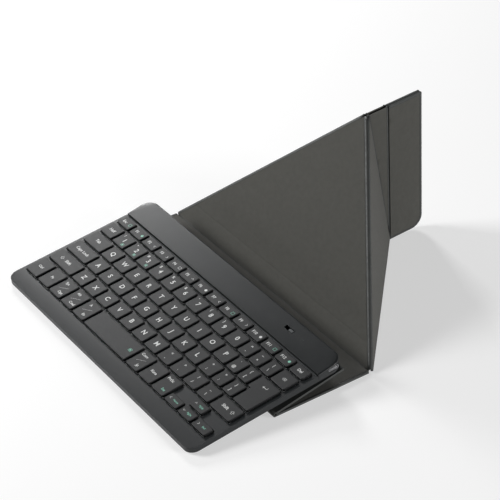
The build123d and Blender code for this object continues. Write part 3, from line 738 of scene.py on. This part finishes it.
# ---------------------------------------------------------------- legends
LETTER = 4.3
WORD = 2.9
PAIR = 2.6
SMALL = 2.5
PAIR_PLACES = (3.0, -3.2)
BOLDNESS = 0.022
LETTERS = {
    "upper_letter_keys": ["Q", "W", "E", "R", "T", "Y", "U", "I", "O", "P"],
    "home_letter_keys": ["A", "S", "D", "F", "G", "H", "J", "K", "L"],
    "lower_letter_keys": ["Z", "X", "C", "V", "B", "N", "M"],
}
PAIRS = {
    "upper_letter_keys": [("`", "@"), ("{", "[")],
    "home_letter_keys": [("+", ";"), ("*", ":"), ("}", "]")],
    "lower_letter_keys": [("<", ","), (">", "."), ("?", "/"), ("_", "\\")],
}
DIGITS = ["1", "2", "3", "4", "5", "6", "7", "8", "9", "0"]
DIGIT_MARKS = ["!", '"', "#", "$", "%", "&", "'", "(", ")", ""]
NUMBER_PAIRS = [("=", "-"), ("~", "^"), ("|", "\\")]
FUNCTION_ICONS = [
    "box", "home", "left", "right", "box", "up", "dot",
    "left", "box", "right", "dot", "box", "dot", "",
]
BOTTOM_ROW = [
    ("Ctrl",), ("Fn",), ("Sys", "Opt"), ("Alt", "Cmd"),
    ("A", "En"), ("Conv", "Jp"), ("Kana",), ("PrtSc", "Ins"),
]
GREEN_BOTTOM_WORDS = ("Ins",)
GREEN_FUNCTIONS = (0, 1, 8, 11, 12)
GREEN_DIGITS = (0, 1, 2)
SPACE_MARK_INSET = 5.5


def mark_pair(ink, centre, x_mm, upper, lower):
    for words, y_mm in zip((upper, lower), PAIR_PLACES):
        ink.text(words, centre, x_mm, y_mm, PAIR)


def mark_letters(node, white, green):
    caps = caps_of(node)
    names = LETTERS[node]
    for (centre, _, _), letter in zip(caps, names):
        white.text(letter, centre, 0, 0, LETTER)
    for (centre, _, _), (upper, lower) in zip(caps[len(names):], PAIRS[node]):
        mark_pair(white, centre, -0.6, upper, lower)


def mark_numbers(node, white, green):
    caps = caps_of(node)
    for i, ((centre, _, _), digit) in enumerate(zip(caps, DIGITS)):
        white.text(digit, centre, 0.6, 0, LETTER)
        if DIGIT_MARKS[i]:
            white.text(DIGIT_MARKS[i], centre, -4.2, 4.0, SMALL)
        if i in GREEN_DIGITS:
            icon(green, "box", centre, 3.4, -4.2, 2.4)
            icon(green, "dot", centre, 3.4, -4.2, 1.4)
    for (centre, _, _), (upper, lower) in zip(caps[len(DIGITS):], NUMBER_PAIRS):
        mark_pair(white, centre, 0, upper, lower)


def mark_functions(node, white, green):
    names = ["Esc"] + [f"F{i}" for i in range(1, 13)] + ["Del"]
    for i, ((centre, _, _), name) in enumerate(zip(caps_of(node), names)):
        white.text(name, centre, -2.6 if i < len(names) - 1 else 0, 0, 2.7)
        if FUNCTION_ICONS[i]:
            ink = green if i in GREEN_FUNCTIONS else white
            icon(ink, FUNCTION_ICONS[i], centre, 5.0, 0, 2.6)


def mark_bottom_row(node, white, green):
    """One word in the middle, or two in opposite corners, with a slanted line between them when the
    second word is white.
    """
    for (centre, _, _), words in zip(caps_of(node), BOTTOM_ROW):
        if len(words) == 1:
            white.text(words[0], centre, 0, 0, SMALL)
            continue
        white.text(words[0], centre, -2.2, 5.2, SMALL)
        if words[1] in GREEN_BOTTOM_WORDS:
            green.text(words[1], centre, 2.6, -5.2, SMALL)
        else:
            white.text(words[1], centre, 2.6, -5.2, SMALL)
            white.stroke([(-3.6, -3.0), (3.6, 1.6)], 0.16, centre, 0, 0.6)


def mark_word(words, symbol=None, symbol_x=0.0, word_x=0.0):
    def mark(node, white, green):
        centre = caps_of(node)[0][0]
        if words:
            white.text(words, centre, word_x, 0, WORD)
        if symbol:
            icon(white, symbol, centre, symbol_x, 0, 3.4)

    return mark


def mark_space(node, white, green):
    centre, width, _ = caps_of(node)[0]
    x_mm = width / MM / 2 - SPACE_MARK_INSET
    icon(green, "dot", centre, x_mm, 0, 1.7)
    icon(green, "box", centre, x_mm, 0, 2.8)


def mark_enter(node, white, green):
    """The arrow sits in the wide upper arm of the key."""
    centre = caps_of(node)[0][0]
    icon(white, "enter", centre, 0.6, 8.4, 4.6)


def mark_arrow(kind, word):
    def mark(node, white, green):
        centre = caps_of(node)[0][0]
        icon(white, kind, centre, -4.6, 0, 2.4)
        green.text(word, centre, 1.9, 0, 1.7)

    return mark


MARKS = {
    "function_keys": mark_functions,
    "number_keys": mark_numbers,
    "upper_letter_keys": mark_letters,
    "home_letter_keys": mark_letters,
    "lower_letter_keys": mark_letters,
    "bottom_row_keys": mark_bottom_row,
    "space_key": mark_space,
    "enter_key": mark_enter,
    "half_full_key": mark_word("Half"),
    "tab_key": mark_word("Tab"),
    "caps_key": mark_word("Caps Lock"),
    "backspace_key": mark_word("", "backspace"),
    "left_shift_key": mark_word("Shift", "shift", -6.6, 2.2),
    "right_shift_key": mark_word("Shift", "shift", 7.0, -1.8),
    "left_arrow_key": mark_arrow("left", "Home"),
    "down_arrow_key": mark_arrow("down", "PgDn"),
    "up_arrow_key": mark_arrow("up", "PgUp"),
    "right_arrow_key": mark_arrow("right", "End"),
}
for node_name, mark_node in MARKS.items():
    white_marks, green_marks = Ink(), Ink()
    mark_node(node_name, white_marks, green_marks)
    white_marks.finish(f"{node_name}_legends", node_name, WHITE_INK)
    green_marks.finish(f"{node_name}_green_legends", node_name, GREEN_INK)


# ---------------------------------------------------------------- floor and light
FLOOR_HALF = 6.0
FLOOR_DROP = 0.4 * MM
FLOOR_GREY = 0.55
FLOOR_GLOW = 0.5
WORLD_STRENGTH = 0.03
SOFTBOXES = {
    "back_left_box": ((-1.4, 0.45, 0.70), (0.35, 0.35), 13),
    "front_left_box": ((-0.9, -1.0, 0.9), (0.6, 0.6), 23),
    "right_box": ((1.3, 0.75, 0.45), (0.6, 0.5), 11),
}


def make_floor():
    bm = bmesh.new()
    bmesh.ops.create_grid(bm, x_segments=4, y_segments=4, size=FLOOR_HALF)
    mesh = bpy.data.meshes.new("floor")
    bm.to_mesh(mesh)
    bm.free()
    floor = bpy.data.objects.new("floor", mesh)
    floor.location.z = -FLOOR_DROP
    bpy.context.scene.collection.objects.link(floor)
    shader = Shader("floor", (0.75, 0.85))
    shader.rough(shader.noise(40.0))
    shader.surface.inputs["Specular IOR Level"].default_value = 0.1
    shader.surface.inputs["Base Color"].default_value = (*[FLOOR_GREY] * 3, 1)
    # A lit table top, as product shots use: it stays pale where the lights fall off.
    shader.surface.inputs["Emission Color"].default_value = (1, 1, 1, 1)
    shader.surface.inputs["Emission Strength"].default_value = FLOOR_GLOW
    paint(floor, shader.material)


def make_softbox(name, place, size, power):
    """A rectangular light that faces the middle of the object's base."""
    data = bpy.data.lights.new(name, "AREA")
    data.shape = "RECTANGLE"
    data.size, data.size_y = size
    data.energy = power
    light = bpy.data.objects.new(name, data)
    light.location = place
    light.rotation_mode = "QUATERNION"
    light.rotation_quaternion = (-Vector(place)).to_track_quat("-Z", "Y")
    bpy.context.scene.collection.objects.link(light)


def make_surroundings():
    world = bpy.data.worlds.new("studio")
    world.use_nodes = True
    background = world.node_tree.nodes["Background"]
    background.inputs["Color"].default_value = (0.95, 0.97, 1.0, 1)
    background.inputs["Strength"].default_value = WORLD_STRENGTH
    bpy.context.scene.world = world
    bpy.context.scene.view_settings.view_transform = "Standard"
    for name, (place, size, power) in SOFTBOXES.items():
        make_softbox(name, place, size, power)


make_floor()
make_surroundings()
